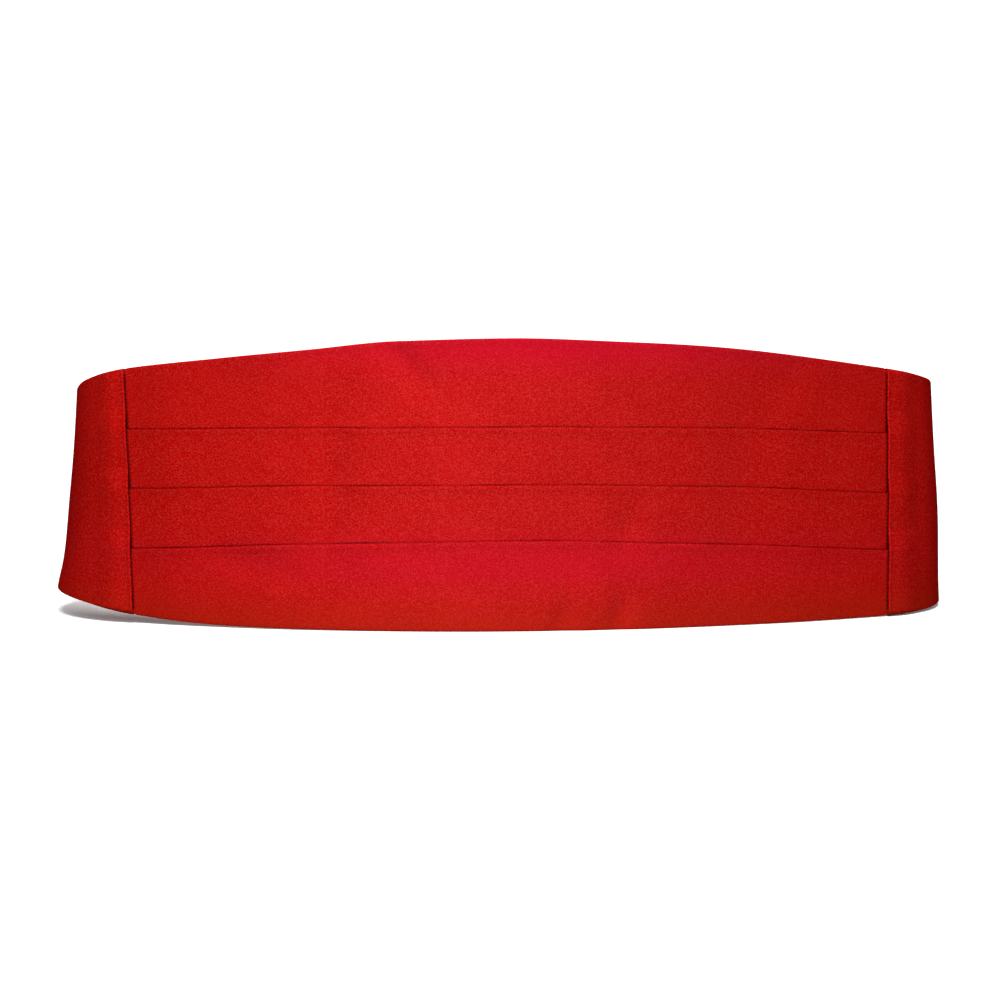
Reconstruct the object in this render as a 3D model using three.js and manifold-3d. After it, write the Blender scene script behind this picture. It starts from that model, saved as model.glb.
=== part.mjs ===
// A satin cummerbund with four pleats, fastened into a flattened loop and standing on its lower edge.
// Millimetres. The pleated front faces -Y, +X is to the right of someone looking at it, and +Z is up.
import * as THREE from "three";
import { mergeVertices } from "three/addons/utils/BufferGeometryUtils.js";
import Module from "manifold-3d";

const wasm = await Module();
wasm.setup();

// Sizes of the loop
const BAND_HEIGHT = 130; // tallest part of the front, measured along the cloth
const SEAM_REACH = 169; // from the centre line to each end seam, straight across the front
const FRONT_BOW = 33; // how far the seams lie behind the middle of the front
const LOOP_DEPTH = 112; // from the middle of the front to the middle of the back, at the floor
const LEFT_LEAD = 10.5; // flat cloth between the left seam and its turn
const RIGHT_LEAD = 4; // the same on the right
const TAB_FLAT = 9; // flat cloth between a turn and the end of the strap

// Sizes of the cloth
const PLEAT_CLOTH = 1.0; // folded and lined satin of one pleat
const PLEAT_TUCK = 8; // what each pleat runs down behind the next one
const TAB_CLOTH = 1.6; // the two layers of a tab where they lie together
const TAB_LAYER = 1.0; // one layer of a tab, where the ends of the pleats lie between them
const SEAM_LAP = 6; // ends of the pleats inside the tab
const SEAM_EASE = 14; // length over which the two layers close up past those ends
const GAP = 0.3; // clearance between pieces that touch

// Sizes of the strap and the clasp
const STRAP_WIDTH = 38;
const STRAP_CLOTH = 1.2;
const STRAP_LAP = 14; // strap end sewn behind the narrow end of the tab, and how long that end is
const STRAP_RETURN = 16; // strap turned back past the bar of the clasp
const STRAP_SLOPE = 4; // length over which the strap rises over the bar
const CLASP_WIDTH = 52;
const CLASP_THICKNESS = 2;
const CLASP_RIM = 2.5; // metal above and below a slot
const CLASP_BAR = 4; // metal at each end, which the strap goes round
const CLASP_CORNER = 4;
const SLOT_WIDTH = 4;
const SLOT_CORNER = 1;
const SLOT_PLAY = 0.5; // room above and below the strap in its slot

// How finely the cloth is divided
const FRONT_STEP = 8;
const TAB_STEP = 6;
const PLEAT_ROWS = 3;
const TAB_ROWS = 6;
const BEND_SEGMENTS = 8;
const CORNER_SEGMENTS = 4;

// Plan of the middle of the cloth at floor level: a shallow front arc, then on each side a short flat
// lead, a turn and a straight back
const frontRadius = (SEAM_REACH ** 2 + FRONT_BOW ** 2) / (2 * FRONT_BOW);
const seamHeading = Math.asin(SEAM_REACH / frontRadius);
const seamAlong = frontRadius * seamHeading;

function endOfLoop(lead) {
  const radius = (LOOP_DEPTH - FRONT_BOW - lead * Math.sin(seamHeading)) / (1 + Math.cos(seamHeading));
  const turnStart = seamAlong + lead;
  const turnEnd = turnStart + radius * (Math.PI - seamHeading);
  return {
    radius,
    turnStart,
    turnEnd,
    turnX: SEAM_REACH + lead * Math.cos(seamHeading) - radius * Math.sin(seamHeading),
    outermost: turnStart + radius * (Math.PI / 2 - seamHeading),
    lap: turnEnd + TAB_FLAT,
    tabEnd: turnEnd + TAB_FLAT + STRAP_LAP,
  };
}
const leftEnd = endOfLoop(LEFT_LEAD);
const rightEnd = endOfLoop(RIGHT_LEAD);

const strapLift = CLASP_RIM + SLOT_PLAY;
const claspHeight = STRAP_WIDTH + 2 * strapLift;

// The lengths that the tables below take their shares of
const H = BAND_HEIGHT;
const S = seamAlong; // from the centre line to a seam, along the cloth
const N = claspHeight; // height of the narrow end of a tab

// Edges of the band, from the left tab to the right. Low and high are heights above the floor,
// back is how far the cloth leans towards +Y for each millimetre of height, and inward how far it
// leans towards the centre line.
const SECTIONS = [
  { at: "left tab end", along: -leftEnd.tabEnd, low: 0, high: N, back: 0, inward: 0 },
  { at: "left lap", along: -leftEnd.lap, low: 0, high: N + 0.07 * H, back: 0, inward: 0 },
  { at: "left back", along: -leftEnd.turnEnd, low: 0.012 * H, high: N + 0.13 * H, back: 0.01, inward: 0 },
  { at: "left end", along: -leftEnd.outermost, low: 0.078 * H, high: 0.79 * H, back: 0.12, inward: 0.1 },
  { at: "left seam", along: -S, low: 0.028 * H, high: 0.865 * H, back: 0.19, inward: -0.02 },
  { at: "left quarter", along: -0.52 * S, low: 0.002 * H, high: 0.94 * H, back: 0.2, inward: 0 },
  { at: "left of centre", along: -0.3 * S, low: 0, high: 0.97 * H, back: 0.203, inward: 0 },
  { at: "centre", along: 0, low: 0, high: 0.98 * H, back: 0.203, inward: 0 },
  { at: "right of centre", along: 0.3 * S, low: 0, high: 0.97 * H, back: 0.203, inward: 0 },
  { at: "right quarter", along: 0.52 * S, low: 0.003 * H, high: 0.95 * H, back: 0.2, inward: 0 },
  { at: "right seam", along: S, low: 0.006 * H, high: 0.85 * H, back: 0.19, inward: -0.01 },
  { at: "right end", along: rightEnd.outermost, low: 0.012 * H, high: 0.78 * H, back: 0.12, inward: 0.03 },
  { at: "right back", along: rightEnd.turnEnd, low: 0.008 * H, high: N + 0.13 * H, back: 0.01, inward: 0 },
  { at: "right lap", along: rightEnd.lap, low: 0, high: N + 0.07 * H, back: 0, inward: 0 },
  { at: "right tab end", along: rightEnd.tabEnd, low: 0, high: N, back: 0, inward: 0 },
];

// Heights above the floor of the folded edges of the second, third and fourth pleat
const PLEAT_EDGES = [
  { at: "left seam", along: -S, second: 0.656 * H, third: 0.455 * H, fourth: 0.252 * H },
  { at: "left quarter", along: -0.5 * S, second: 0.677 * H, third: 0.483 * H, fourth: 0.289 * H },
  { at: "centre", along: 0, second: 0.682 * H, third: 0.488 * H, fourth: 0.302 * H },
  { at: "right quarter", along: 0.5 * S, second: 0.668 * H, third: 0.471 * H, fourth: 0.278 * H },
  { at: "right seam", along: S, second: 0.626 * H, third: 0.422 * H, fourth: 0.228 * H },
];

// Shallow hollows in the cloth, each with its place along the front and up it, its reach and its depth
const DENTS = [
  { at: "top pleat", along: -0.26 * S, up: 0.87 * H, wide: 0.07 * H, tall: 0.13 * H, deep: 0.007 * H },
  { at: "middle pleats", along: -0.47 * S, up: 0.48 * H, wide: 0.09 * H, tall: 0.3 * H, deep: 0.007 * H },
  { at: "lower hem", along: 0.22 * S, up: 0.04 * H, wide: 0.06 * H, tall: 0.09 * H, deep: 0.006 * H },
  { at: "right pleats", along: 0.62 * S, up: 0.6 * H, wide: 0.12 * H, tall: 0.35 * H, deep: 0.006 * H },
  { at: "left tab", along: -1.12 * S, up: 0.3 * H, wide: 0.1 * H, tall: 0.16 * H, deep: 0.006 * H },
  { at: "right tab", along: 1.1 * S, up: 0.42 * H, wide: 0.08 * H, tall: 0.2 * H, deep: 0.005 * H },
];

// A smooth value from a table's column that never overshoots its rows
function fromTable(rows, column, along) {
  const last = rows.length - 1;
  if (along <= rows[0].along) return rows[0][column];
  if (along >= rows[last].along) return rows[last][column];
  const i = rows.findIndex((row) => row.along > along) - 1;
  const width = (k) => rows[k + 1].along - rows[k].along;
  const secant = (k) => (rows[k + 1][column] - rows[k][column]) / width(k);
  const slope = (k) => {
    if (k === 0) return secant(0);
    if (k === last) return secant(last - 1);
    const [before, after] = [secant(k - 1), secant(k)];
    return before * after <= 0 ? 0 : (2 * before * after) / (before + after);
  };
  const w = width(i);
  const t = (along - rows[i].along) / w;
  const [a, b] = [rows[i][column], rows[i + 1][column]];
  const bend = t * (1 - t) * ((1 - t) * (slope(i) * w - (b - a)) - t * (slope(i + 1) * w - (b - a)));
  return a + t * (b - a) + bend;
}

// Where the cloth's middle meets the floor, and the direction that faces out of the loop there
function plan(along) {
  const side = Math.sign(along) || 1;
  const a = Math.abs(along);
  const end = side < 0 ? leftEnd : rightEnd;
  const at = (x, y, heading) => {
    return { x: side * x, y, outX: side * Math.sin(heading), outY: -Math.cos(heading) };
  };
  if (a < seamAlong) {
    const heading = a / frontRadius;
    return at(frontRadius * Math.sin(heading), frontRadius * (1 - Math.cos(heading)), heading);
  }
  if (a < end.turnStart) {
    const run = a - seamAlong;
    const x = SEAM_REACH + run * Math.cos(seamHeading);
    return at(x, FRONT_BOW + run * Math.sin(seamHeading), seamHeading);
  }
  if (a < end.turnEnd) {
    const heading = seamHeading + (a - end.turnStart) / end.radius;
    const y = LOOP_DEPTH - end.radius - end.radius * Math.cos(heading);
    return at(end.turnX + end.radius * Math.sin(heading), y, heading);
  }
  return at(end.turnX - (a - end.turnEnd), LOOP_DEPTH, Math.PI);
}

function dentDepth(along, height) {
  return DENTS.reduce((sum, dent) => {
    const across = (along - dent.along) / dent.wide;
    const up = (height - dent.up) / dent.tall;
    return sum + dent.deep * Math.exp(-(across ** 2) - up ** 2);
  }, 0);
}

// The point of the cloth at a place along the band and a height, a given distance outside its middle
function place(along, height, out) {
  const foot = plan(along);
  const reach = out - dentDepth(along, height);
  const inward = fromTable(SECTIONS, "inward", along) * -Math.sign(along);
  return new THREE.Vector3(
    foot.x + foot.outX * reach + inward * height,
    foot.y + foot.outY * reach + fromTable(SECTIONS, "back", along) * height,
    height,
  );
}

// Places from the first to the last of some marks, no further apart than a step
function spaced(marks, step) {
  const places = [marks[0]];
  for (let i = 1; i < marks.length; i++) {
    const count = Math.ceil((marks[i] - marks[i - 1]) / step);
    for (let k = 1; k <= count; k++) places.push(marks[i - 1] + ((marks[i] - marks[i - 1]) * k) / count);
  }
  return places;
}

// A closed wall from a grid of places, where point(along, row, face) is on face 0 inside or 1 outside
function wall(alongs, rowCount, point) {
  const columns = alongs.length;
  const positions = [];
  for (const face of [0, 1]) {
    for (const along of alongs) {
      for (let row = 0; row <= rowCount; row++) positions.push(...point(along, row, face).toArray());
    }
  }
  const index = (column, row, face) => (face * columns + column) * (rowCount + 1) + row;
  const triangles = [];
  const quad = (a, b, c, d) => triangles.push(a, b, c, a, c, d);
  for (let i = 0; i < columns - 1; i++) {
    for (let j = 0; j < rowCount; j++) {
      quad(index(i, j, 1), index(i + 1, j, 1), index(i + 1, j + 1, 1), index(i, j + 1, 1));
      quad(index(i, j, 0), index(i, j + 1, 0), index(i + 1, j + 1, 0), index(i + 1, j, 0));
    }
    quad(index(i, 0, 0), index(i + 1, 0, 0), index(i + 1, 0, 1), index(i, 0, 1));
    quad(index(i, rowCount, 0), index(i, rowCount, 1), index(i + 1, rowCount, 1), index(i + 1, rowCount, 0));
  }
  for (let j = 0; j < rowCount; j++) {
    quad(index(0, j, 0), index(0, j, 1), index(0, j + 1, 1), index(0, j + 1, 0));
    const end = columns - 1;
    quad(index(end, j, 0), index(end, j + 1, 0), index(end, j + 1, 1), index(end, j, 1));
  }
  const geometry = new THREE.BufferGeometry();
  geometry.setAttribute("position", new THREE.Float32BufferAttribute(positions, 3));
  geometry.setIndex(triangles);
  return geometry;
}

function toSolid(geometry) {
  const bare = new THREE.BufferGeometry();
  bare.setAttribute("position", geometry.getAttribute("position"));
  bare.setIndex(geometry.getIndex());
  const merged = mergeVertices(bare);
  const mesh = { numProp: 3, vertProperties: merged.attributes.position.array };
  return new wasm.Manifold(new wasm.Mesh({ ...mesh, triVerts: new Uint32Array(merged.index.array) }));
}

function toGeometry(solid) {
  const mesh = solid.getMesh();
  const geometry = new THREE.BufferGeometry();
  geometry.setAttribute("position", new THREE.BufferAttribute(mesh.vertProperties, 3));
  geometry.setIndex(new THREE.BufferAttribute(mesh.triVerts, 1));
  return geometry;
}

// Materials
const satin = new THREE.MeshStandardMaterial({ color: 0xc4161a, roughness: 0.5, metalness: 0 });
const webbing = new THREE.MeshStandardMaterial({ color: 0x8c1216, roughness: 0.85, metalness: 0 });
const nickel = new THREE.MeshStandardMaterial({ color: 0xb9b7b2, roughness: 0.3, metalness: 1 });

function named(name, geometry, material) {
  geometry.computeVertexNormals();
  const mesh = new THREE.Mesh(geometry, material);
  mesh.name = name;
  return mesh;
}

// Pleats: each strip leans out towards its upper folded edge, which covers the foot of the one above
const pleatStep = PLEAT_CLOTH + GAP;
const pleatEnd = seamAlong + SEAM_LAP;

const pleatTop = [
  (along) => fromTable(SECTIONS, "high", along),
  (along) => fromTable(PLEAT_EDGES, "second", along),
  (along) => fromTable(PLEAT_EDGES, "third", along),
  (along) => fromTable(PLEAT_EDGES, "fourth", along),
  (along) => fromTable(SECTIONS, "low", along),
];

// How far the middle of a pleat stands out at a height, on its own strip or produced below it
function pleatOut(pleat, along, height) {
  const top = pleatTop[pleat](along);
  const foot = pleatTop[pleat + 1](along);
  const lastPleat = pleat === pleatTop.length - 2;
  if (height >= foot || lastPleat) return (pleatStep * (height - foot)) / (top - foot);
  return pleatOut(pleat + 1, along, height) - pleatStep;
}

function pleatStrip(pleat) {
  const lastPleat = pleat === pleatTop.length - 2;
  const rowCount = lastPleat ? PLEAT_ROWS : PLEAT_ROWS + 1;
  const alongs = spaced([-pleatEnd, -seamAlong, 0, seamAlong, pleatEnd], FRONT_STEP);
  return wall(alongs, rowCount, (along, row, face) => {
    const top = pleatTop[pleat](along);
    const foot = pleatTop[pleat + 1](along);
    const fromFoot = lastPleat ? row : row - 1;
    const height = fromFoot < 0 ? foot - PLEAT_TUCK : foot + ((top - foot) * fromFoot) / PLEAT_ROWS;
    return place(along, height, pleatOut(pleat, along, height) + (face - 0.5) * PLEAT_CLOTH);
  });
}

// Tabs: two layers that hold the ends of the pleats between them, then lie together round the turn
const pleatFront = pleatStep + PLEAT_CLOTH / 2;
const leastFall = Math.min(...PLEAT_EDGES.flatMap((row) => [row.second - row.third, row.third - row.fourth]));
const pleatBack = -(pleatStep * PLEAT_TUCK) / leastFall - PLEAT_CLOTH / 2;
const slotFront = pleatFront + GAP;
const slotBack = pleatBack - GAP;
const slotEnd = pleatEnd + GAP;

function tabOut(distance, face) {
  const open = 1 - THREE.MathUtils.smoothstep(distance, slotEnd, slotEnd + SEAM_EASE);
  const spread = face ? slotFront + TAB_LAYER : slotBack - TAB_LAYER;
  return THREE.MathUtils.lerp((face - 0.5) * TAB_CLOTH, spread, open);
}

// Marks along one side of the band, in rising order
const onSide = (side, marks) => (side < 0 ? marks.map((mark) => -mark).reverse() : marks);

function endTab(side, end) {
  const marks = [seamAlong, slotEnd, slotEnd + SEAM_EASE, end.lap, end.tabEnd];
  const body = wall(spaced(onSide(side, marks), TAB_STEP), TAB_ROWS, (along, row, face) => {
    const low = fromTable(SECTIONS, "low", along);
    const high = fromTable(SECTIONS, "high", along);
    return place(along, low + ((high - low) * row) / TAB_ROWS, tabOut(Math.abs(along), face));
  });
  const slotMarks = [seamAlong - SEAM_LAP, seamAlong, slotEnd];
  const slot = wall(spaced(onSide(side, slotMarks), TAB_STEP), TAB_ROWS, (along, row, face) => {
    const low = fromTable(SECTIONS, "low", along) - SEAM_LAP;
    const high = fromTable(SECTIONS, "high", along) + SEAM_LAP;
    return place(along, low + ((high - low) * row) / TAB_ROWS, face ? slotFront : slotBack);
  });
  return toGeometry(toSolid(body).subtract(toSolid(slot)));
}

// Straps: a band laid behind the narrow end of the tab, that goes round the bar of the clasp and back
const strapY = LOOP_DEPTH - TAB_CLOTH / 2 - GAP - STRAP_CLOTH / 2;
const barOuter = CLASP_WIDTH / 2;
const barInner = barOuter - CLASP_BAR;

function strapPath(end) {
  const bend = CLASP_THICKNESS / 2 + GAP + STRAP_CLOTH / 2;
  const returnSide = -(STRAP_CLOTH + GAP);
  const path = [
    new THREE.Vector2(end.turnX - TAB_FLAT, 0),
    new THREE.Vector2(barOuter + STRAP_SLOPE, 0),
    new THREE.Vector2(barOuter, bend),
  ];
  for (let k = 0; k <= BEND_SEGMENTS; k++) {
    const turn = Math.PI / 2 + (Math.PI * k) / BEND_SEGMENTS;
    path.push(new THREE.Vector2(barInner + bend * Math.cos(turn), bend * Math.sin(turn)));
  }
  path.push(new THREE.Vector2(barOuter, -bend));
  path.push(new THREE.Vector2(barOuter + STRAP_SLOPE, returnSide));
  path.push(new THREE.Vector2(barOuter + STRAP_RETURN, returnSide));
  return path;
}

// The outline of a band of even thickness that follows a path
function ribbon(path, thickness) {
  const sideOf = (i) => {
    const before = path[i].clone().sub(path[Math.max(i - 1, 0)]).normalize();
    const after = path[Math.min(i + 1, path.length - 1)].clone().sub(path[i]).normalize();
    const tangent = before.clone().add(after).normalize();
    const along = i > 0 ? before : after;
    return new THREE.Vector2(-tangent.y, tangent.x).multiplyScalar(thickness / 2 / tangent.dot(along));
  };
  const left = path.map((point, i) => point.clone().add(sideOf(i)));
  const right = path.map((point, i) => point.clone().sub(sideOf(i)));
  return left.concat(right.reverse());
}

function strap(side, end) {
  const mirrored = (point) => new THREE.Vector2(side * point.x, point.y);
  const outline = ribbon(strapPath(end), STRAP_CLOTH).map(mirrored);
  return new THREE.ExtrudeGeometry(new THREE.Shape(outline), { depth: STRAP_WIDTH, bevelEnabled: false });
}

// Clasp: one flat plate that stands on the floor, with a slot for each strap
function rectangle(path, left, right, bottom, top, corner) {
  path.moveTo(left + corner, bottom);
  path.lineTo(right - corner, bottom);
  path.absarc(right - corner, bottom + corner, corner, -Math.PI / 2, 0);
  path.lineTo(right, top - corner);
  path.absarc(right - corner, top - corner, corner, 0, Math.PI / 2);
  path.lineTo(left + corner, top);
  path.absarc(left + corner, top - corner, corner, Math.PI / 2, Math.PI);
  path.lineTo(left, bottom + corner);
  path.absarc(left + corner, bottom + corner, corner, Math.PI, 1.5 * Math.PI);
  return path;
}

function claspPlate() {
  const plate = rectangle(new THREE.Shape(), -barOuter, barOuter, 0, claspHeight, CLASP_CORNER);
  const slotTop = claspHeight - CLASP_RIM;
  for (const left of [-barInner, barInner - SLOT_WIDTH]) {
    plate.holes.push(rectangle(new THREE.Path(), left, left + SLOT_WIDTH, CLASP_RIM, slotTop, SLOT_CORNER));
  }
  const settings = { depth: CLASP_THICKNESS, bevelEnabled: false, curveSegments: CORNER_SEGMENTS };
  return new THREE.ExtrudeGeometry(plate, settings);
}

// Assembly
const cummerbund = new THREE.Group();
["pleat_top", "pleat_upper", "pleat_lower", "pleat_bottom"].forEach((name, pleat) => {
  cummerbund.add(named(name, pleatStrip(pleat), satin));
});
for (const [label, side, end] of [["left", -1, leftEnd], ["right", 1, rightEnd]]) {
  cummerbund.add(named(`end_tab_${label}`, endTab(side, end), satin));
  const band = named(`strap_${label}`, strap(side, end), webbing);
  band.position.set(0, strapY, strapLift);
  cummerbund.add(band);
}
const clasp = named("clasp", claspPlate(), nickel);
clasp.rotation.x = Math.PI / 2;
clasp.position.set(0, strapY + CLASP_THICKNESS / 2, 0);
cummerbund.add(clasp);

// The origin is on the floor, under the middle of the loop's outer size
const centre = new THREE.Box3().setFromObject(cummerbund, true).getCenter(new THREE.Vector3());
cummerbund.position.set(-centre.x, -centre.y, 0);

export default cummerbund;
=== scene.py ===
import math

import bpy
import numpy as np
from mathutils import Matrix, Vector, noise


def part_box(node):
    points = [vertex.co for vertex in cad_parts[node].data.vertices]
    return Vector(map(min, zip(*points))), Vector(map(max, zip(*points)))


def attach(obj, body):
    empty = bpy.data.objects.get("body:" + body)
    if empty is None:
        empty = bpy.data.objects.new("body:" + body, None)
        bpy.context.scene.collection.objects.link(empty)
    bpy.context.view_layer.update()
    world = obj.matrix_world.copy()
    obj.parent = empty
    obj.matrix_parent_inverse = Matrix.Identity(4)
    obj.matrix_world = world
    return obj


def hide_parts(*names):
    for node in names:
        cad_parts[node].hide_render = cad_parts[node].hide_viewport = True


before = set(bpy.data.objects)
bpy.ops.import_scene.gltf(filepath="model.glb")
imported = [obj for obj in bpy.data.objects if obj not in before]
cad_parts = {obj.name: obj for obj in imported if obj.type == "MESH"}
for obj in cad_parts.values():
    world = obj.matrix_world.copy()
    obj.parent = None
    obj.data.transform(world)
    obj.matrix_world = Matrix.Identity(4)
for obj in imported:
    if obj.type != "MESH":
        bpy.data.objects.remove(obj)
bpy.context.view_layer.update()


# Pleats. The front is four strips of lined satin, each folded lengthwise and pressed, and each lapping
# over the foot of the one above, so that the pleats open upwards. Both ends are sewn into the tabs. The
# whole front bows towards the wearer's sides and leans back as it stands.
BAND_HEIGHT = 0.130
SEAM_REACH = 0.169  # from the centre line to each end seam, straight across the front
FRONT_BOW = 0.033
LOOP_DEPTH = 0.112
LEFT_LEAD = 0.0105  # flat cloth between the left seam and its turn
RIGHT_LEAD = 0.004
TAB_FLAT = 0.009  # flat cloth between a turn and the end of the strap
STRAP_LAP = 0.014
PLEAT_CLOTH = 0.001
PLEAT_TUCK = 0.008
TAB_CLOTH = 0.0016
STRAP_CLOTH = 0.0012
SEAM_LAP = 0.006  # ends of the pleats inside the tab
SEAM_PINCH = 0.0005  # how much the front narrows at each edge to go into the tab
PINCH_REACH = 0.0015
GAP = 0.0003  # between pieces that lie on each other
FOLD_SWELL = 0.00014  # how much a folded edge stands proud of its pressed strip
SWELL_BELOW = 0.0012  # from a fold down to the middle of its swell
SWELL_HALF = 0.0018
SWELL_VARIES = 0.4  # how much the swell changes along a fold, as a share of it
SWELL_WAVE = 0.045  # length of those changes
SWELL_PLACE = (5.1, 0.4)  # where they are read in a noise: a step for each pleat, and a depth
PRESSED_REACH = 0.012  # beside a seam the swell is pressed flat over this length
SLOW_WAVES = ((0.055, 0.00060), (0.024, 0.00012))  # length and depth of the waves in the cloth
SLOW_PLACE = 3.7  # the depth at which they are read in a noise
WAVE_EASE = 0.02  # length over which they end before the flat part of a tab
SEAM_BITE = 0.0006  # how far the painted shade beside a seam reaches
BITE_MARGIN = 0.0012  # it leaves this much of the band's edges free, and comes up over as much again
ABOVE_FOLD_BITE = 0.00045  # how far the painted shade over the next pleat's fold reaches up
OWN_FOLD_BITE = 0.00025  # how far the painted shade on a pleat's own fold reaches down
BITE_MIDDLE = 0.42  # how dark the painted shade in a fold's bite is in the middle of the front
BITE_OUTWARD = 0.35  # how much darker it gets towards the seams
BITE_VARIES = 0.45
BITE_WAVE = 0.017  # length of its slow changes
BITE_PLACE = (3.7, 1.9)  # where they are read in a noise
PLEAT_COLUMNS = 290
SEAM_COLUMNS = 24
SEAM_CLOSE = 0.004  # beside a seam the columns are closer over this length
EDGE_ROWS = 4
HEM_ROWS = 20  # rows up the bottom pleat, and up the other ones in four stretches
HIDDEN_ROWS = 5
BITTEN_ROWS = 10
BITTEN_BELOW = 0.0004  # closer rows beside the next pleat's fold, from here below it
BITTEN_ABOVE = 0.002  # to here above it
PLAIN_ROWS = 18
FOLD_ROWS = 10
FOLD_CLOSE = 0.004  # below a pleat's own fold the rows are closer over this height
FLAT_EASE = 1.02  # what a sheet takes over its finished height for its folds
SATIN_DEEP = (0.25, 0.0008, 0.0004, 1)
# The next two are the lighter threads: first with the front light's whitish sheen painted in, for the
# middle of the front, then plain, for the ends.
SATIN_PAINTED_SHEEN = (0.42, 0.0070, 0.0075, 1)
SATIN_FLAME = (0.42, 0.0035, 0.0010, 1)
# Random flecks in the weave, which also carry a little painted sheen over the front.
SATIN_FLECK_AND_SHEEN = (0.50, 0.0450, 0.0400, 1)
# A painted crimson highlight.
SATIN_CRIMSON_HIGHLIGHT = (0.41, 0.0022, 0.0190, 1)
# Painted shade and floor bounce, darker and browner towards the hem.
SATIN_HEM_SHADE = (0.27, 0.0110, 0.0020, 1)
# painted shade in the bite of a fold or beside a seam
SATIN_SHADOW = (0.022, 0.0004, 0.0003, 1)
GRAIN_SCALE = 1650.0  # cells of the noise in a metre of cloth
FLOAT_SCALE = (900.0, 2600.0, 1.0)  # floating threads, longest along the band
FLECK_SCALE = (1480.0, 1480.0, 1.0)
CLOUD_SCALE = 34.0
FLOAT_SHIFT = (17.0, 5.0, 31.7)
FLECK_SHIFT = (9.0, 41.0, 73.3)
GRAIN_CONTRAST = 4.6
FLOAT_CONTRAST = 0.7
CLOUD_CONTRAST = 0.7
FLECK_CONTRAST = 1.3
SATIN_RELIEF = 0.00012

# Where painted light shifts the satin's colour, with the middle of each part and its reach, across the band
# or up it: the front light's painted sheen over the middle of the front, painted crimson highlights along
# the top edge and over the bottom pleat's upper part, and painted shade towards the hem.
MIDDLE_SHEEN = (0.0, 0.13)
FRONT_SHEEN = (0.0, 0.17)
TOP_HIGHLIGHT = (0.03, 0.13)
TOP_HIGHLIGHT_HEIGHT = (0.125, 0.012)
LOW_HIGHLIGHT_HEIGHT = (0.030, 0.011)
HEM_SHADE_HEIGHT = (0.0, 0.011)

front_radius = (SEAM_REACH**2 + FRONT_BOW**2) / (2 * FRONT_BOW)
seam_heading = math.asin(SEAM_REACH / front_radius)
seam_along = front_radius * seam_heading

# The solids stand over the middle of their own box, so the clasp says where the plan's origin went.
clasp_low, clasp_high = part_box("clasp")
strap_y = LOOP_DEPTH - TAB_CLOTH / 2 - GAP - STRAP_CLOTH / 2
origin_x = (clasp_low.x + clasp_high.x) / 2
origin_y = (clasp_low.y + clasp_high.y) / 2 - strap_y
narrow_height = clasp_high.z


def end_of_loop(lead):
    """How one end of the loop turns, with places measured along the cloth from the middle of the front."""
    sine = math.sin(seam_heading)
    cosine = math.cos(seam_heading)
    radius = (LOOP_DEPTH - FRONT_BOW - lead * sine) / (1 + cosine)
    turn_start = seam_along + lead
    turn_end = turn_start + radius * (math.pi - seam_heading)
    return {
        "radius": radius,
        "turn_start": turn_start,
        "turn_end": turn_end,
        "turn_x": SEAM_REACH + lead * cosine - radius * sine,
        "outermost": turn_start + radius * (math.pi / 2 - seam_heading),
        "lap": turn_end + TAB_FLAT,
        "tab_end": turn_end + TAB_FLAT + STRAP_LAP,
    }


left_end = end_of_loop(LEFT_LEAD)
right_end = end_of_loop(RIGHT_LEAD)

# Edges of the band along its length, as shares of its own height H and the tabs' narrow height N. Low
# and high are heights, back and inward are how far the cloth leans to the rear and towards the centre
# line for each metre of height.
H = BAND_HEIGHT
N = narrow_height
SECTIONS = [
    {"along": -left_end["tab_end"], "low": 0, "high": N, "back": 0, "inward": 0},
    {"along": -left_end["lap"], "low": 0, "high": N + 0.07 * H, "back": 0, "inward": 0},
    {"along": -left_end["turn_end"], "low": 0.012 * H, "high": N + 0.13 * H, "back": 0.01, "inward": 0},
    {"along": -left_end["outermost"], "low": 0.079 * H, "high": 0.725 * H, "back": 0.12, "inward": 0.096},
    {"along": -1.235 * seam_along, "low": 0.073 * H, "high": 0.786 * H, "back": 0.14, "inward": 0.06},
    {"along": -1.16 * seam_along, "low": 0.063 * H, "high": 0.818 * H, "back": 0.16, "inward": 0.03},
    {"along": -seam_along, "low": 0.028 * H, "high": 0.862 * H, "back": 0.19, "inward": -0.03},
    {"along": -0.75 * seam_along, "low": 0.006 * H, "high": 0.907 * H, "back": 0.196, "inward": 0},
    {"along": -0.52 * seam_along, "low": 0.002 * H, "high": 0.94 * H, "back": 0.2, "inward": 0},
    {"along": -0.3 * seam_along, "low": 0, "high": 0.97 * H, "back": 0.203, "inward": 0},
    {"along": 0, "low": 0, "high": 0.98 * H, "back": 0.203, "inward": 0},
    {"along": 0.3 * seam_along, "low": 0, "high": 0.963 * H, "back": 0.203, "inward": 0},
    {"along": 0.52 * seam_along, "low": 0.001 * H, "high": 0.942 * H, "back": 0.2, "inward": 0},
    {"along": seam_along, "low": 0.003 * H, "high": 0.848 * H, "back": 0.19, "inward": -0.01},
    {"along": 1.145 * seam_along, "low": 0.009 * H, "high": 0.812 * H, "back": 0.155, "inward": 0.01},
    {"along": right_end["outermost"], "low": 0.012 * H, "high": 0.765 * H, "back": 0.12, "inward": 0.03},
    {"along": right_end["turn_end"], "low": 0.008 * H, "high": N + 0.13 * H, "back": 0.01, "inward": 0},
    {"along": right_end["lap"], "low": 0, "high": N + 0.07 * H, "back": 0, "inward": 0},
    {"along": right_end["tab_end"], "low": 0, "high": N, "back": 0, "inward": 0},
]

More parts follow.
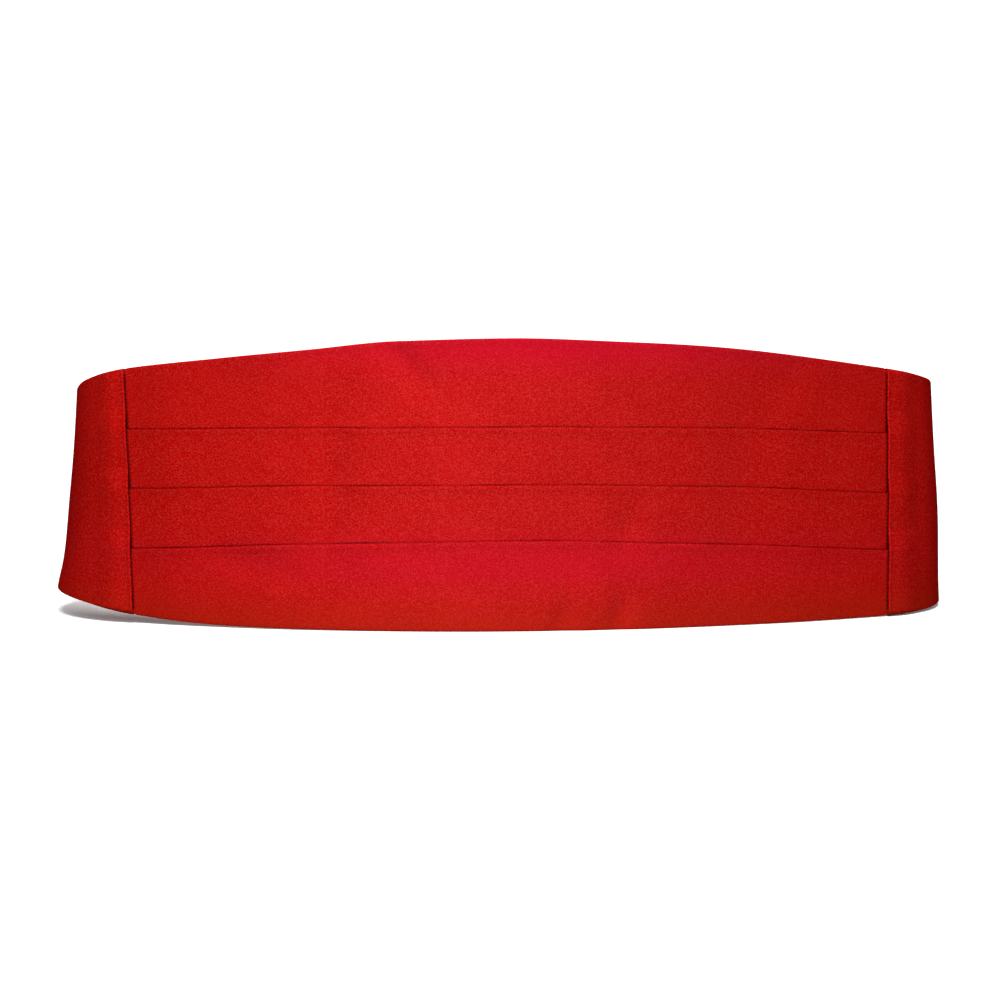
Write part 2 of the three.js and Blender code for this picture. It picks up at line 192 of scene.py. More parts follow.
# The folded edges of the lower three pleats.
PLEAT_EDGES = [
    {"along": -seam_along, "second": 0.656 * H, "third": 0.455 * H, "fourth": 0.252 * H},
    {"along": -0.5 * seam_along, "second": 0.677 * H, "third": 0.483 * H, "fourth": 0.289 * H},
    {"along": 0, "second": 0.682 * H, "third": 0.488 * H, "fourth": 0.302 * H},
    {"along": 0.5 * seam_along, "second": 0.668 * H, "third": 0.471 * H, "fourth": 0.278 * H},
    {"along": seam_along, "second": 0.626 * H, "third": 0.422 * H, "fourth": 0.228 * H},
]

# Soft hollows: the middle of each one along the band and up it, its half length and half width, how
# far its length is turned from level in degrees, and its depth. With a minus it swells outwards.
DENTS = [
    (-0.045, 0.113, 0.020, 0.006, -48, 0.0008),
    (-0.081, 0.066, 0.036, 0.009, 88, 0.0009),
    (-0.118, 0.028, 0.024, 0.008, -12, 0.0006),
    (0.020, 0.004, 0.010, 0.006, 80, 0.0007),
    (0.046, 0.006, 0.012, 0.006, 70, 0.0008),
    (0.050, 0.044, 0.012, 0.007, 75, 0.0006),
    (0.107, 0.078, 0.045, 0.014, 84, 0.0008),
    (0.130, 0.112, 0.020, 0.009, 60, 0.0006),
    (-0.194, 0.039, 0.020, 0.012, 75, 0.0008),
    (0.190, 0.055, 0.026, 0.009, 85, 0.0007),
    (-0.229, 0.008, 0.030, 0.012, 0, -0.0020),
    (0.225, 0.045, 0.040, 0.028, 0, -0.0009),
    (-0.172, 0.055, 0.090, 0.012, 90, 0.0010),
]


def from_table(rows, column, along):
    """A smooth value from a table's column that never overshoots its rows."""
    last = len(rows) - 1
    if along <= rows[0]["along"]:
        return rows[0][column]
    if along >= rows[last]["along"]:
        return rows[last][column]
    i = next(k for k in range(last) if rows[k + 1]["along"] > along)

    def secant(k):
        return (rows[k + 1][column] - rows[k][column]) / (rows[k + 1]["along"] - rows[k]["along"])

    def slope(k):
        if k == 0:
            return secant(0)
        if k == last:
            return secant(last - 1)
        before = secant(k - 1)
        after = secant(k)
        return 0 if before * after <= 0 else 2 * before * after / (before + after)

    width = rows[i + 1]["along"] - rows[i]["along"]
    t = (along - rows[i]["along"]) / width
    start = rows[i][column]
    rise = rows[i + 1][column] - start
    bend = (1 - t) * (slope(i) * width - rise) - t * (slope(i + 1) * width - rise)
    return start + t * rise + t * (1 - t) * bend


def plan(along):
    """Where the middle of the cloth meets the floor, and the direction that faces out of the loop there."""
    side = -1 if along < 0 else 1
    run = abs(along)
    end = left_end if side < 0 else right_end
    if run < seam_along:
        heading = run / front_radius
        x = front_radius * math.sin(heading)
        y = front_radius * (1 - math.cos(heading))
    elif run < end["turn_start"]:
        heading = seam_heading
        x = SEAM_REACH + (run - seam_along) * math.cos(heading)
        y = FRONT_BOW + (run - seam_along) * math.sin(heading)
    elif run < end["turn_end"]:
        heading = seam_heading + (run - end["turn_start"]) / end["radius"]
        x = end["turn_x"] + end["radius"] * math.sin(heading)
        y = LOOP_DEPTH - end["radius"] - end["radius"] * math.cos(heading)
    else:
        heading = math.pi
        x = end["turn_x"] - (run - end["turn_end"])
        y = LOOP_DEPTH
    return side * x, y, side * math.sin(heading), -math.cos(heading)


def smooth_step(value, start, end):
    """0 up to the start and 1 from the end on, with a soft rise between them."""
    share = np.clip((value - start) / (end - start), 0, 1)
    return share * share * (3 - 2 * share)


def uneven(along, wave, row, depth):
    """A slow change along the band, about from -0.5 to 0.5, read from one row of a noise."""
    return noise.noise(Vector((along / wave, row, depth)))


def hollow(along, height):
    """How far the cloth lies inside its plain form: its dents and its slow waves."""
    depth = np.zeros(len(height))
    for middle, up, half_length, half_width, turn, deep in DENTS:
        cosine = math.cos(math.radians(turn))
        sine = math.sin(math.radians(turn))
        run = (along - middle) * cosine + (height - up) * sine
        off = (height - up) * cosine - (along - middle) * sine
        depth += deep * np.exp(-((run / half_length) ** 2) - (off / half_width) ** 2)
    fixed = smooth_step(abs(along), left_end["turn_end"] - WAVE_EASE, left_end["turn_end"])
    for size, deep in SLOW_WAVES:
        wave = [uneven(along, size, z / size, SLOW_PLACE) for z in height]
        depth += deep * (1 - fixed) * np.array(wave)
    return depth


def place(along, height, out):
    """Points of the cloth at one place along the band, at some heights and some distances outside its
    middle."""
    x, y, out_x, out_y = plan(along)
    reach = out - hollow(along, height)
    inward = -math.copysign(1, along) * from_table(SECTIONS, "inward", along)
    back = from_table(SECTIONS, "back", along)
    return np.column_stack(
        (
            origin_x + x + out_x * reach + inward * height,
            origin_y + y + out_y * reach + back * height,
            height,
        )
    )


def sew(name, columns, lengths, crease_shades=None):
    """A sheet that starts as a flat grid and takes the given columns of points, sewn into one where its
    edges meet. Its UV map keeps the cloth's own distances in metres, and an attribute keeps how much
    shade is painted at each point in the bite of a fold or a seam."""
    across = len(columns)
    up = len(columns[0])
    bpy.ops.object.select_all(action="DESELECT")
    bpy.ops.mesh.primitive_grid_add(x_subdivisions=across - 1, y_subdivisions=up - 1, size=1)
    piece = bpy.context.object
    piece.name = name
    piece.data.name = name
    mesh = piece.data
    flat = np.empty(len(mesh.vertices) * 3)
    mesh.vertices.foreach_get("co", flat)
    flat = flat.reshape(-1, 3)
    column = np.rint((flat[:, 0] + 0.5) * (across - 1)).astype(int)
    row = np.rint((flat[:, 1] + 0.5) * (up - 1)).astype(int)
    points = np.array(columns)
    mesh.vertices.foreach_set("co", points[column, row].ravel())
    if crease_shades is not None:
        crease_shade = mesh.attributes.new("crease_shade", "FLOAT", "POINT")
        crease_shade.data.foreach_set("value", np.array(crease_shades)[column, row])
    girth = np.linalg.norm(np.diff(points[across // 2], axis=0), axis=1)
    heights = np.concatenate(([0], np.cumsum(girth)))
    corners = np.empty(len(mesh.loops) * 2)
    mesh.uv_layers.active.data.foreach_get("uv", corners)
    corners = corners.reshape(-1, 2)
    corner_column = np.rint(corners[:, 0] * (across - 1)).astype(int)
    corner_row = np.rint(corners[:, 1] * (up - 1)).astype(int)
    corners = np.column_stack((np.array(lengths)[corner_column], heights[corner_row]))
    mesh.uv_layers.active.data.foreach_set("uv", corners.ravel())
    bpy.ops.object.mode_set(mode="EDIT")
    bpy.ops.mesh.select_all(action="SELECT")
    bpy.ops.mesh.remove_doubles(threshold=0.000001)
    bpy.ops.mesh.normals_make_consistent(inside=False)
    bpy.ops.mesh.select_all(action="DESELECT")
    bpy.ops.object.mode_set(mode="OBJECT")
    bpy.ops.object.shade_smooth()
    mesh.update()
    return piece


class Wire:
    """A socket in a material's node tree that can stand in a sum or a product."""

    def __init__(self, tree, socket=None):
        self.tree = tree
        self.socket = socket

    def node(self, kind, settings=None, sockets=None, output=0):
        """A new node with its settings, then the values or links of its sockets, as its output."""
        made = self.tree.nodes.new(kind)
        for name, value in (settings or {}).items():
            setattr(made, name, value)
        for name, value in (sockets or {}).items():
            if isinstance(value, Wire):
                self.tree.links.new(value.socket, made.inputs[name])
            else:
                made.inputs[name].default_value = value
        return Wire(self.tree, made.outputs[output] if made.outputs else None)

    def maths(self, operation, first, second):
        return self.node("ShaderNodeMath", {"operation": operation}, {0: first, 1: second})

    def __add__(self, other):
        return self.maths("ADD", self, other)

    def __radd__(self, other):
        return self.maths("ADD", other, self)

    def __sub__(self, other):
        return self.maths("SUBTRACT", self, other)

    def __rsub__(self, other):
        return self.maths("SUBTRACT", other, self)

    def __mul__(self, other):
        return self.maths("MULTIPLY", self, other)

    def __rmul__(self, other):
        return self.maths("MULTIPLY", other, self)

    def noise(self, where, scale, detail=2.0, rough=0.5):
        sockets = {"Vector": where, "Scale": scale, "Detail": detail, "Roughness": rough}
        return self.node("ShaderNodeTexNoise", None, sockets)

    def hump(self, value, middle, reach):
        """1 at a value's middle, falling smoothly to nothing past its reach."""
        off = (value - middle) * (1 / reach)
        return self.maths("EXPONENT", off * off * -1.0, 0)

    def stretched(self, where, scale, shift=(0, 0, 0)):
        """Places along a noise, with a shift that takes them to a part of it that no other noise uses."""
        scaled = self.node("ShaderNodeVectorMath", {"operation": "MULTIPLY"}, {0: where, 1: scale})
        return self.node("ShaderNodeVectorMath", {"operation": "ADD"}, {0: scaled, 1: shift})

    def between(self, first, second, share):
        """A colour between two, from the first at a share of 0 to the second at 1. A Mix node's sockets
        for colours share their names with others, so they are given by number."""
        return self.node("ShaderNodeMix", {"data_type": "RGBA"}, {0: share, 6: first, 7: second}, 2)


def new_finish(name):
    """An empty material, and the wire that its nodes start from."""
    finish = bpy.data.materials.new(name)
    finish.use_nodes = True
    finish.node_tree.nodes.clear()
    return finish, Wire(finish.node_tree)


def finished(wire, colour, roughness, height, relief, **fixed):
    """Ends a material in one shader whose grain comes from a height in metres times the relief."""
    bump = wire.node("ShaderNodeBump", None, {"Strength": 1.0, "Distance": relief, "Height": height})
    sockets = {"Base Color": colour, "Roughness": roughness, "Normal": bump}
    sockets.update({name.replace("_", " "): value for name, value in fixed.items()})
    shader = wire.node("ShaderNodeBsdfPrincipled", None, sockets)
    wire.node("ShaderNodeOutputMaterial", None, {"Surface": shader})


satin, wire = new_finish("red_satin")
cloth_map = wire.node("ShaderNodeUVMap", {"uv_map": "UVMap"})
where = wire.node("ShaderNodeTexCoord", output="Object")
across = wire.node("ShaderNodeSeparateXYZ", None, {0: where}, "X")
upwards = wire.node("ShaderNodeSeparateXYZ", None, {0: where}, "Z")
grain = wire.noise(cloth_map, GRAIN_SCALE, 2.0, 0.7)
floats = wire.noise(wire.stretched(cloth_map, FLOAT_SCALE, FLOAT_SHIFT), 1.0, 2.0, 0.5)
flecks = wire.noise(wire.stretched(cloth_map, FLECK_SCALE, FLECK_SHIFT), 1.0, 1.0, 0.6)
clouds = wire.noise(cloth_map, CLOUD_SCALE, 3.0, 0.55)
# How much painted shade a point takes, in the bite of a fold or a seam.
crease_shade = wire.node("ShaderNodeAttribute", {"attribute_name": "crease_shade"}, output="Fac")
shade = 0.5 + (grain - 0.5) * GRAIN_CONTRAST
shade = shade + (floats - 0.5) * FLOAT_CONTRAST + (clouds - 0.5) * CLOUD_CONTRAST
# The front light's painted sheen, strongest in the middle of the front and fading towards the ends.
sheen_middle = wire.hump(across, *MIDDLE_SHEEN)
sheen_front = wire.hump(across, *FRONT_SHEEN)
# Where the crimson highlight is painted: along the top edge, and across the middle of the bottom pleat's
# upper part.
top_highlight = wire.hump(across, *TOP_HIGHLIGHT) * wire.hump(upwards, *TOP_HIGHLIGHT_HEIGHT)
crimson_highlight = top_highlight + sheen_middle * wire.hump(upwards, *LOW_HIGHLIGHT_HEIGHT) * 0.7
# Where the hem's painted shade falls.
hem_shade = wire.hump(upwards, *HEM_SHADE_HEIGHT)
# The lighter threads take the painted sheen in the middle of the front.
sheen_floats = wire.between(SATIN_FLAME, SATIN_PAINTED_SHEEN, sheen_middle)
# The satin's own grain, to which the painted sheen, highlights and shade are then added.
dye_and_painted_light = wire.between(SATIN_DEEP, sheen_floats, shade)
# Random flecks, with a little painted sheen added over the front.
dye_and_painted_light = wire.between(dye_and_painted_light, SATIN_FLECK_AND_SHEEN, (flecks - 0.5) * FLECK_CONTRAST + sheen_front * 0.06)
# Painted crimson highlights.
dye_and_painted_light = wire.between(dye_and_painted_light, SATIN_CRIMSON_HIGHLIGHT, crimson_highlight * 0.55)
# Painted shade towards the hem.
dye_and_painted_light = wire.between(dye_and_painted_light, SATIN_HEM_SHADE, hem_shade * 0.5)
# Painted shade in the bite of each fold and beside the seams.
dye_and_painted_light = wire.between(dye_and_painted_light, SATIN_SHADOW, crease_shade * 0.9)
finished(
    wire,
    dye_and_painted_light,
    roughness=0.58 + (grain - 0.5) * 0.25 + crease_shade * 0.3,
    height=grain * 0.7 + floats * 0.3,
    relief=SATIN_RELIEF,
    Metallic=0.33,
    Specular_IOR_Level=0.0,
    Specular_Tint=(1.0, 0.03, 0.02, 1),
)

pleat_step = PLEAT_CLOTH + GAP
pleat_end = seam_along + SEAM_LAP


def pleat_edge(rank, along):
    """Height of a pleat's folded edge, or of the hem below the last one. The outer two are drawn in
    where they go into a tab."""
    drawn_in = SEAM_PINCH * (1 - smooth_step(seam_along - abs(along), 0, PINCH_REACH))
    if rank == 0:
        return from_table(SECTIONS, "high", along) - drawn_in
    if rank == 4:
        return from_table(SECTIONS, "low", along) + drawn_in
    return from_table(PLEAT_EDGES, ("second", "third", "fourth")[rank - 1], along)


def pleat_out(rank, edges, height):
    """How far the middle of a pleat stands out, on its own strip or behind the next one."""
    own = pleat_step * (height - edges[rank + 1]) / (edges[rank] - edges[rank + 1])
    if rank == 3:
        return own
    behind = pleat_out(rank + 1, edges, height) - pleat_step
    return np.where(height >= edges[rank + 1], own, behind)


def half_round(count, radius):
    """Steps round a quarter circle: distances in from the edge, and the half thickness at each."""
    turn = np.linspace(0, math.pi / 2, count + 1)[:-1]
    return radius * (1 - np.cos(turn)), radius * np.sin(turn)


def strip_rows(rank, edges, half):
    """Heights up one pleat between its rounded edges, closest beside the next pleat's fold and its own."""
    top = edges[rank] - half
    close = top - FOLD_CLOSE
    if rank == 3:
        rows = [np.linspace(edges[4] + half, close, HEM_ROWS, endpoint=False)]
    else:
        fold = edges[rank + 1]
        below = fold - BITTEN_BELOW
        above = fold + BITTEN_ABOVE
        rows = [
            np.linspace(fold - PLEAT_TUCK + half, below, HIDDEN_ROWS, endpoint=False),
            np.linspace(below, above, BITTEN_ROWS, endpoint=False),
            np.linspace(above, close, PLAIN_ROWS, endpoint=False),
        ]
    rows.append(np.linspace(close, top, FOLD_ROWS))
    return np.concatenate(rows)


def painted_fold_shade(rank, edges, along, height):
    """Up one pleat, how much shade is painted in the bite above the next pleat's fold, on its own fold and
    at a seam.
    """
    beside_seam = math.exp(-((max(seam_along - abs(along), 0) / SEAM_BITE) ** 2))
    from_edges = np.minimum(height - edges[4], edges[0] - height)
    seam_bite = beside_seam * np.clip((from_edges - BITE_MARGIN) / BITE_MARGIN, 0, 1)
    outward = min(abs(along) / seam_along, 1)
    changes = BITE_VARIES * uneven(along, BITE_WAVE, rank * BITE_PLACE[0], BITE_PLACE[1])
    tight = BITE_MIDDLE + BITE_OUTWARD * outward**2 + changes
    fold_bite = 0 * height
    if rank < 3:
        above_fold = np.maximum(height - edges[rank + 1], 0)
        fold_bite = np.exp(-((above_fold / ABOVE_FOLD_BITE) ** 2))
    if rank > 0:
        below_own = edges[rank] - height
        fold_bite = np.maximum(fold_bite, np.exp(-((below_own / OWN_FOLD_BITE) ** 2)))
    return np.maximum(seam_bite, tight * fold_bite)


def pleat(name, rank):
    """One pleat as a flattened tube of cloth, rounded at its fold and closed at its ends."""
    half = PLEAT_CLOTH / 2
    inset, round_half = half_round(EDGE_ROWS, half)
    inner_end = seam_along - SEAM_CLOSE
    inner = np.linspace(-inner_end, inner_end, PLEAT_COLUMNS)
    outer = np.linspace(inner_end, pleat_end - half, SEAM_COLUMNS)[1:]
    alongs = np.concatenate(([-pleat_end], -outer[::-1], inner, outer, [pleat_end]))
    columns = []
    crease_shades = []
    for along in alongs:
        edges = [pleat_edge(k, along) for k in range(5)]
        top = edges[rank]
        foot = edges[rank + 1] - (0 if rank == 3 else PLEAT_TUCK)
        body = strip_rows(rank, edges, half)
        height = np.concatenate((foot + inset, body, (top - inset)[::-1]))
        thick = np.concatenate((round_half, np.full(len(body), half), round_half[::-1]))
        pressed = smooth_step(seam_along - abs(along), 0.0, PRESSED_REACH)
        lively = 1 + SWELL_VARIES * uneven(along, SWELL_WAVE, rank * SWELL_PLACE[0], SWELL_PLACE[1])
        from_swell = top - height - SWELL_BELOW
        swell = FOLD_SWELL * pressed * lively * np.exp(-((from_swell / SWELL_HALF) ** 2))
        if abs(along) == pleat_end:
            thick = thick * 0
            swell = swell * 0
        middle = pleat_out(rank, edges, height)
        front = place(along, height, middle + thick + swell * thick / half)
        rear = place(along, height, middle - thick)
        columns.append(np.concatenate((front, rear[-2::-1])))
        crease_shade = painted_fold_shade(rank, edges, along, height)
        crease_shades.append(np.concatenate((crease_shade, 0 * crease_shade[-2::-1])))
    piece = sew(name, columns, alongs, crease_shades)
    piece.data.materials.append(satin)
    return piece


for rank, node in enumerate(("pleat_top", "pleat_upper", "pleat_lower", "pleat_bottom")):
    piece = pleat(f"satin_{node}", rank)
    middle_edges = [pleat_edge(k, 0) for k in range(5)]
    end_edges = [pleat_edge(k, seam_along) for k in range(5)]
    tuck = 0 if rank == 3 else PLEAT_TUCK
    tall = middle_edges[rank] - middle_edges[rank + 1] + tuck
    narrow = end_edges[rank] - end_edges[rank + 1] + tuck
    strip = (tall * FLAT_EASE, 2 * pleat_end)
    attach(piece, "root")
    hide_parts(node)
    strip[1] * (tall + narrow) / 2


# End tabs. Each is two layers of the same satin, sewn together along their edges and turned. Its mouth
# holds the pleats' ends behind a rolled seam, then it turns the end of the loop and narrows to the strap.
TAB_LAYER = 0.0008
SEAM_EASE = 0.014  # length over which the two layers close up past the pleats' ends
SEAM_ROLL = 0.0005  # radius of the rolled edge of the mouth
SEAM_RIDGE = 0.0002  # how much that edge stands proud of the tab beside it
RIDGE_HALF = 0.0007  # half the ridge's width
RIDGE_MARGIN = 0.0005  # the ridge starts this far from the tab's own edges
RIDGE_RISE = 0.002  # and comes up over this height
FOLD_OVER = 0.0003  # cloth over and under the pleats' ends
MOUTH_ROUND = 0.0022  # height of the rounded top and bottom of the mouth
SINK_ABOVE = 0.09  # how fast the tab's front sinks above a fold that it rides over, in metres per metre
SINK_BELOW = 0.045
STITCH_PITCH = 0.0018
PUCKER = 0.00005  # how deep the stitches pull the tab in beside the seam
PUCKER_FROM = 0.001
PUCKER_REACH = 0.0022
TAB_ROWS = 220
TAB_STEP = 0.0016
SLOT_COLUMNS = 6
ROLL_COLUMNS = 9
SEAM_SIDE = 0.006  # past the seam the columns are closer up to here
SEAM_SIDE_COLUMNS = 14
TAB_END_COLUMNS = 5
TAB_STATIONS = 200  # places at which a tab's height is read for its flat size

lowest_fall = min(
    min(row["second"] - row["third"], row["third"] - row["fourth"]) for row in PLEAT_EDGES
)
# The back layer lies behind the tucked foot of a pleat, which stands back most where its strip is lowest.
slot_back = -pleat_step * PLEAT_TUCK / lowest_fall - PLEAT_CLOTH / 2 - GAP
slot_end = pleat_end + GAP


def slot_front(along, height):
    """The inside of the tab's front layer, which rides softly over the pleats' folds."""
    edges = [pleat_edge(k, along) for k in range(5)]
    level = np.full(len(height), PLEAT_CLOTH)
    for rank in range(4):
        above = height - edges[rank]
        rise = pleat_step + PLEAT_CLOTH / 2
        level = np.maximum(level, rise - np.where(above > 0, SINK_ABOVE, SINK_BELOW) * np.abs(above))
    return level + GAP


def tab_column(along, mouth, roll, shut):
    """A closed column of a tab. Mouth is 1 where the pleats' ends are held and 0 past them, and roll is 1
    outside the cloth and 0 inside the mouth. Shut is 1, and 0 where the two layers meet at a closed end.
    Over its top third the mouth comes forward by one step, as the top pleat does."""
    inset_by = FOLD_OVER * (1 - roll)
    low = from_table(SECTIONS, "low", along) + inset_by
    high = from_table(SECTIONS, "high", along) - inset_by
    reach = MOUTH_ROUND * mouth + TAB_CLOTH / 2 * (1 - mouth)
    inset, swell = half_round(2 * EDGE_ROWS, 1.0)
    body = np.linspace(low + reach, high - reach, TAB_ROWS)
    height = np.concatenate((low + reach * inset, body, (high - reach * inset)[::-1]))
    plump = np.concatenate((swell, np.ones(TAB_ROWS), swell[::-1]))
    share = (height - low) / (high - low)
    middle = pleat_step * mouth * np.clip(share * 3 - 2, 0, 1) ** 2
    from_mouth = abs(along) - seam_along
    from_edges = np.minimum(height - low, high - height)
    ridge = SEAM_RIDGE * math.exp(-(((from_mouth - RIDGE_HALF) / RIDGE_HALF) ** 2)) * roll
    ridge = ridge * np.clip((from_edges - RIDGE_MARGIN) / RIDGE_RISE, 0, 1)
    pucker = PUCKER * roll * math.exp(-abs(from_mouth - PUCKER_FROM) / PUCKER_REACH)
    pucker = pucker * np.sin(height * (2 * math.pi / STITCH_PITCH))
    held_front = slot_front(along, height) + TAB_LAYER * roll + ridge + pucker
    held_back = slot_back - TAB_LAYER * roll
    front = held_front * mouth + TAB_CLOTH / 2 * (1 - mouth)
    back = held_back * mouth - TAB_CLOTH / 2 * (1 - mouth)
    outside = place(along, height, middle + (front - middle) * plump * shut)
    inside = place(along, height, middle + (back - middle) * plump * shut)
    return np.concatenate((outside, inside[-2::-1]))


def end_tab(name, side, end):
    """One tab, from the bottom of its mouth out over the rolled seam and along to its narrow end."""
    columns = []
    runs = []
    for run in np.linspace(slot_end, seam_along + SEAM_ROLL, SLOT_COLUMNS):
        columns.append(tab_column(side * run, 1, 0, 0 if run == slot_end else 1))
        runs.append(2 * seam_along - run)
    for turn in np.linspace(0, math.pi, ROLL_COLUMNS)[1:-1]:
        run = seam_along + SEAM_ROLL * (1 - math.sin(turn))
        columns.append(tab_column(side * run, 1, (1 - math.cos(turn)) / 2, 1))
        runs.append(seam_along + SEAM_ROLL * (turn / math.pi - 1))
    last = end["tab_end"] - TAB_CLOTH / 2
    plain = seam_along + SEAM_SIDE
    count = int((last - plain) / TAB_STEP)
    beside_seam = np.linspace(seam_along + SEAM_ROLL, plain, SEAM_SIDE_COLUMNS, endpoint=False)
    for run in np.concatenate((beside_seam, np.linspace(plain, last, count))):
        mouth = 1 - smooth_step(run, slot_end, slot_end + SEAM_EASE)
        columns.append(tab_column(side * run, mouth, 1, 1))
        runs.append(run)
    for turn in np.linspace(0, math.pi / 2, TAB_END_COLUMNS)[1:]:
        run = last + TAB_CLOTH / 2 * math.sin(turn)
        columns.append(tab_column(side * run, 0, 1, 0 if turn == math.pi / 2 else math.cos(turn)))
        runs.append(run)
    piece = sew(name, columns, runs)
    piece.data.materials.append(satin)
    return piece


for label, side, end in (("left", -1, left_end), ("right", 1, right_end)):
    piece = end_tab(f"satin_end_tab_{label}", side, end)
    stations = np.linspace(seam_along, end["tab_end"], TAB_STATIONS)
    tall = [
        from_table(SECTIONS, "high", side * run) - from_table(SECTIONS, "low", side * run)
        for run in stations
    ]
    tab_length = end["tab_end"] - seam_along
    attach(piece, "root")
    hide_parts(f"end_tab_{label}")
    max(tall) * FLAT_EASE
    float(np.mean(tall)) * tab_length


# Seam stitches. Each tab is sewn down over the pleats' ends with short stitches of matching thread in
# the ditch beside its rolled edge.
THREAD = 0.0003
STITCH_LENGTH = 0.0012
STITCH_ASIDE = THREAD * 0.6  # from the seam's edge to the middle of its stitches
STITCH_LIFT = THREAD * 0.3  # how far a stitch's middle stands off the cloth
STITCH_MARGIN = 0.002  # cloth without stitches at the band's two edges
SLOPE_REACH = 0.0002  # height over which the cloth's slope is read
STEEP = 0.8  # a stitch is left out where the cloth is less steep, on the shoulder of a fold
TWIST_SCALE = (5200.0, 5200.0, 2600.0)
THREAD_DEEP = (0.09, 0.001, 0.001, 1)
THREAD_BRIGHT = (0.22, 0.004, 0.004, 1)

sewing_thread, wire = new_finish("sewing_thread")
where = wire.node("ShaderNodeTexCoord", output="Object")
twist = wire.noise(wire.stretched(where, TWIST_SCALE), 1.0, 2.0)
finished(
    wire,
    wire.between(THREAD_DEEP, THREAD_BRIGHT, twist),
    roughness=0.55 + twist * 0.2,
    height=twist,
    relief=0.00008,
    Specular_IOR_Level=0.4,
    Specular_Tint=(1.0, 0.2, 0.2, 1),
)


def stitches(name, seats):
    """A row of thread stitches as one piece. Each seat is the stitch's middle, its run and its outward
    direction."""
    bpy.ops.object.select_all(action="DESELECT")
    bpy.ops.mesh.primitive_uv_sphere_add(segments=8, ring_count=6, radius=0.5)
    first = bpy.context.object
    first.scale = (THREAD, THREAD, STITCH_LENGTH)
    bpy.ops.object.transform_apply(location=False, rotation=False, scale=True)
    copies = []
    for middle, run, outward in seats:
        copy = first.copy()
        copy.data = first.data.copy()
        bpy.context.collection.objects.link(copy)
        side = outward.cross(run).normalized()
        turned = Matrix((side, run.cross(side).normalized(), run.normalized())).transposed().to_4x4()
        copy.matrix_world = Matrix.Translation(middle) @ turned
        copies.append(copy)
    bpy.data.objects.remove(first)
    bpy.ops.object.select_all(action="DESELECT")
    for copy in copies:
        copy.select_set(True)
    bpy.context.view_layer.objects.active = copies[0]
    bpy.ops.object.join()
    bpy.ops.object.transform_apply(location=True, rotation=True, scale=True)
    row = bpy.context.object
    row.name = name
    row.data.name = name
    bpy.ops.object.shade_smooth()
    row.data.materials.clear()
    row.data.materials.append(sewing_thread)
    return row


def on_front(along, height):
    """A point on the pleats' visible face, and the direction that the face looks."""
    edges = [pleat_edge(k, along) for k in range(5)]
    rank = next(k for k in range(4) if height >= edges[k + 1] or k == 3)
    out = pleat_out(rank, edges, np.array([height])) + PLEAT_CLOTH / 2
    x, y, out_x, out_y = plan(along)
    return Vector(place(along, np.array([height]), out)[0]), Vector((out_x, out_y, 0))


for label, side in (("left", -1), ("right", 1)):
    along = side * (seam_along - STITCH_ASIDE)
    low = from_table(SECTIONS, "low", along)
    high = from_table(SECTIONS, "high", along)
    seats = []
    for height in np.arange(low + STITCH_MARGIN, high - STITCH_MARGIN, STITCH_PITCH):
        here, outward = on_front(along, height)
        above, outward = on_front(along, height + SLOPE_REACH)
        run = (above - here).normalized()
        if run.z > STEEP:
            seats.append((here + outward * STITCH_LIFT, run, outward))
    row = stitches(f"seam_stitches_{label}", seats)
    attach(row, "root")


# Straps. Each is a flat woven band in a matching red, sewn behind the narrow end of a tab. It goes out
# of the loop round the end bar of the clasp, in through the slot and back, and is sewn to itself.
STRAP_WIDTH = 0.038
STRAP_RETURN = 0.016
STRAP_SLOPE = 0.004  # length over which the band bends to get round the bar
BAND_THINNER = 0.16  # how much thinner the band is between its selvedges, as a share
SELVEDGE_WIDTH = 0.0016
SELVEDGE_END = 0.0026
WARP_PITCH = 0.0013
WEFT_PITCH = 0.0009
FUZZ_SCALE = 1800.0
STRAP_ROWS = 30
STRAP_COLUMNS = 60
SLOPE_COLUMNS = 7
BAR_COLUMNS = 17
RETURN_COLUMNS = 12
BOX_INSET = 0.002  # from the strap's sewn end and the tab's end to the box of stitches
SELVEDGE_INSET = 0.003  # from a selvedge to the stitches
RETURN_START = 0.0035  # the first row of stitches on the return, past the strap's bend
RETURN_STOP = 0.003  # the second one, before the return's end
CLASP_WIDTH = 0.052
CLASP_THICKNESS = 0.002
CLASP_RIM = 0.0025  # metal above and below a slot
CLASP_BAR = 0.004
SLOT_PLAY = 0.0005
WEBBING_DEEP = (0.11, 0.002, 0.002, 1)
WEBBING_BRIGHT = (0.34, 0.008, 0.008, 1)

strap_lift = CLASP_RIM + SLOT_PLAY
bar_outer = CLASP_WIDTH / 2
bar_inner = bar_outer - CLASP_BAR

webbing, wire = new_finish("woven_band")
cloth_map = wire.node("ShaderNodeUVMap", {"uv_map": "UVMap"})
run_along = wire.node("ShaderNodeSeparateXYZ", None, {0: cloth_map}, "X")
run_across = wire.node("ShaderNodeSeparateXYZ", None, {0: cloth_map}, "Y")
warp = wire.maths("SINE", run_across * (2 * math.pi / WARP_PITCH), 0)
weft_shift = wire.maths("SIGN", warp, 0) * (math.pi / 2)
weft = wire.maths("SINE", run_along * (2 * math.pi / WEFT_PITCH) + weft_shift, 0)
rib = wire.maths("ABSOLUTE", warp, 0)
fuzz = wire.noise(cloth_map, FUZZ_SCALE, 2.0, 0.6)
weave = rib * 0.55 + weft * 0.2 + fuzz * 0.25 + 0.1
finished(
    wire,
    wire.between(WEBBING_DEEP, WEBBING_BRIGHT, weave),
    roughness=0.86 - weave * 0.15,
    height=weave,
    relief=0.00035,
    Specular_IOR_Level=0.25,
    Specular_Tint=(1.0, 0.3, 0.3, 1),
    Sheen_Weight=0.15,
    Sheen_Tint=(1.0, 0.25, 0.25, 1),
)


